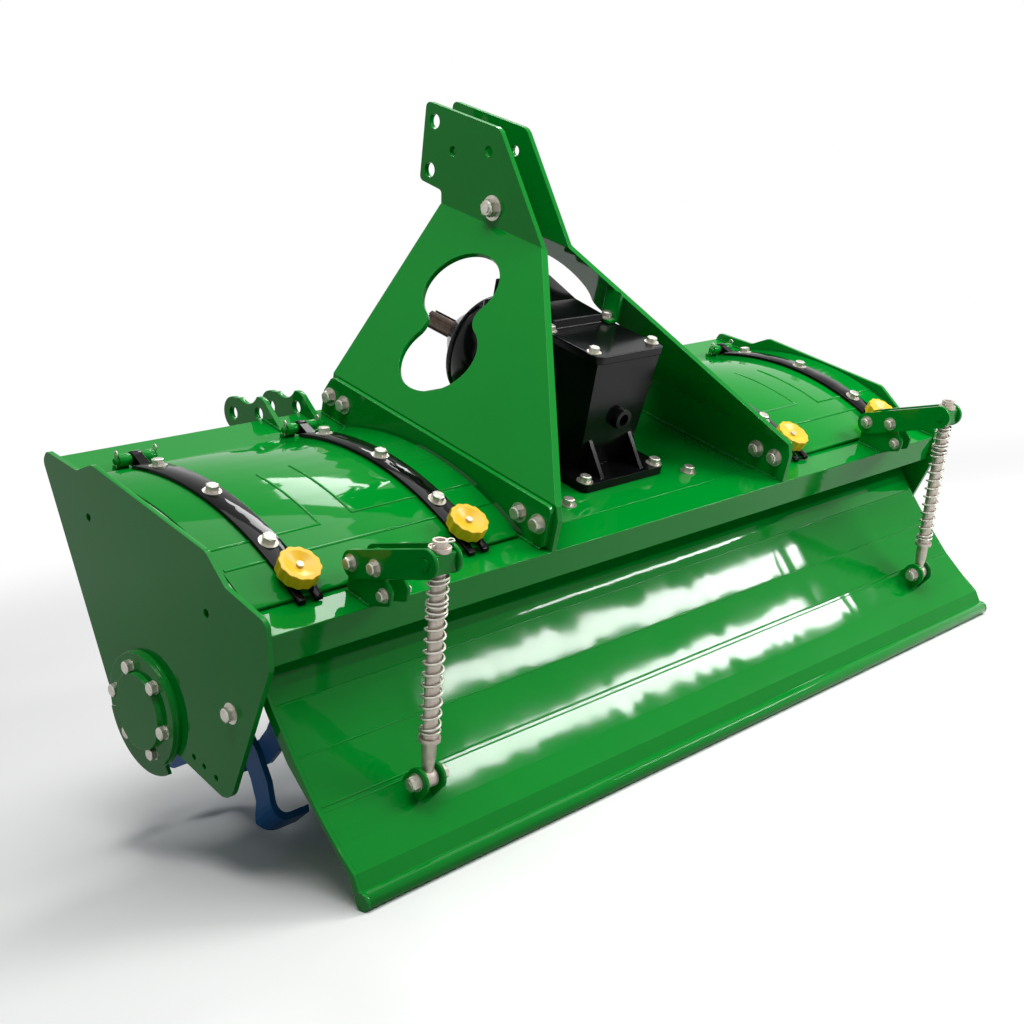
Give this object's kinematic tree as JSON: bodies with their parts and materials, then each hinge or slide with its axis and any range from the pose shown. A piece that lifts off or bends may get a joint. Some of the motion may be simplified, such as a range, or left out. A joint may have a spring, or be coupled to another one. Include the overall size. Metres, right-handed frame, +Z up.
{
  "type": "rotary tiller",
  "caption": "Tractor rotary tiller with a centre gearbox, folded mast, hinged rotor covers, tined rotor and sprung tailboard, parked leaning back on tines and tailboard.",
  "frame": {"origin": "on the floor under the middle of the parked machine", "axes": "+X to the machine's right along the rotor, +Y forward to the tractor, +Z up"},
  "size_m": [1.64, 0.7688, 1.0759],
  "materials": {
    "green_enamel": "glossy sprayed enamel on steel plate",
    "black_enamel": "glossy black enamel on cast iron and strap steel",
    "blue_enamel": "dipped blue paint on forged tines",
    "yellow_plastic": "moulded plastic",
    "bare_steel": "dull drawn steel",
    "spring_steel": "zinc-plated wire"
  },
  "bodies": {
    "frame": {"side_plate_left": "green_enamel", "side_plate_right": "green_enamel", "bearing_cover_left": "green_enamel", "bearing_cover_right": "green_enamel", "front_beam": "green_enamel", "rear_beam": "green_enamel", "deck_centre": "green_enamel", "rib_left": "green_enamel", "rib_right": "green_enamel", "mast_plate_left": "green_enamel", "mast_plate_right": "green_enamel", "mast_spacer": "green_enamel", "gearbox_case": "black_enamel", "gearbox_cover": "black_enamel", "input_housing": "black_enamel", "lower_case": "black_enamel", "gearbox_stay": "green_enamel", "hitch_bracket_left": "green_enamel", "hitch_bracket_right": "green_enamel", "hinge_barrels_left": "green_enamel", "hinge_barrels_right": "green_enamel", "tail_hinge": "green_enamel", "rod_bracket_left": "green_enamel", "rod_bracket_right": "green_enamel", "rod_arms_left": "green_enamel", "rod_arms_right": "green_enamel"},
    "cover_left": {"cover_left": "green_enamel", "straps_left": "black_enamel", "knobs_left": "yellow_plastic"},
    "cover_right": {"cover_right": "green_enamel", "straps_right": "black_enamel", "knobs_right": "yellow_plastic"},
    "tailboard": {"tail_sheet": "green_enamel", "tail_end_left": "green_enamel", "tail_end_right": "green_enamel", "rod_lugs_left": "green_enamel", "rod_lugs_right": "green_enamel"},
    "trunnion_left": {"trunnion_left": "green_enamel"},
    "trunnion_right": {"trunnion_right": "green_enamel"},
    "rod_left": {"rod_left": "bare_steel", "spring_left": "spring_steel"},
    "rod_right": {"rod_right": "bare_steel", "spring_right": "spring_steel"},
    "rotor": {"rotor_left": "blue_enamel", "rotor_right": "blue_enamel"},
    "input_shaft": {"input_shaft": "bare_steel"}
  },
  "joints": [
    {"name": "cover_left_hinge", "type": "hinge", "parent": "frame", "child": "cover_left", "pos_m": [-0.55, 0.19255, 0.56498], "axis": [-1, 0, 0], "range_deg": [0, 95]},
    {"name": "cover_right_hinge", "type": "hinge", "parent": "frame", "child": "cover_right", "pos_m": [0.55, 0.19255, 0.56498], "axis": [-1, 0, 0], "range_deg": [0, 95]},
    {"name": "tailboard_hinge", "type": "hinge", "parent": "frame", "child": "tailboard", "pos_m": [0, -0.15228, 0.31173], "axis": [-1, 0, 0], "range_deg": [0, 35], "stiffness_Nm_per_rad": 120, "springref_deg": -57.3},
    {"name": "trunnion_left_swivel", "type": "hinge", "parent": "frame", "child": "trunnion_left", "pos_m": [-0.617, -0.3644, 0.41155], "axis": [-1, 0, 0], "range_deg": [-1, 18.1]},
    {"name": "rod_left_slide", "type": "slide", "parent": "trunnion_left", "child": "rod_left", "axis": [0, -0.2823, 0.9593], "range_m": [-0.002, 0.1196], "deforming": ["spring_left"]},
    {"name": "trunnion_right_swivel", "type": "hinge", "parent": "frame", "child": "trunnion_right", "pos_m": [0.617, -0.3644, 0.41155], "axis": [-1, 0, 0], "range_deg": [-1, 18.1]},
    {"name": "rod_right_slide", "type": "slide", "parent": "trunnion_right", "child": "rod_right", "axis": [0, -0.2823, 0.9593], "range_m": [-0.002, 0.1196], "deforming": ["spring_right"]},
    {"name": "rotor_spin", "type": "hinge", "parent": "frame", "child": "rotor", "pos_m": [0, 0.0906, 0.225], "axis": [1, 0, 0], "continuous": true},
    {"name": "input_spin", "type": "hinge", "parent": "frame", "child": "input_shaft", "pos_m": [0, 0.21554, 0.6703], "axis": [0, 0.908, 0.4189], "continuous": true}
  ],
  "couplings": [
    {"joint": "trunnion_left_swivel", "follows": "tailboard_hinge", "ratio": 0.49},
    {"joint": "rod_left_slide", "follows": "tailboard_hinge", "m_per_rad": 0.1925},
    {"joint": "trunnion_right_swivel", "follows": "tailboard_hinge", "ratio": 0.49},
    {"joint": "rod_right_slide", "follows": "tailboard_hinge", "m_per_rad": 0.1925},
    {"joint": "input_spin", "follows": "rotor_spin", "ratio": 2.4}
  ]
}
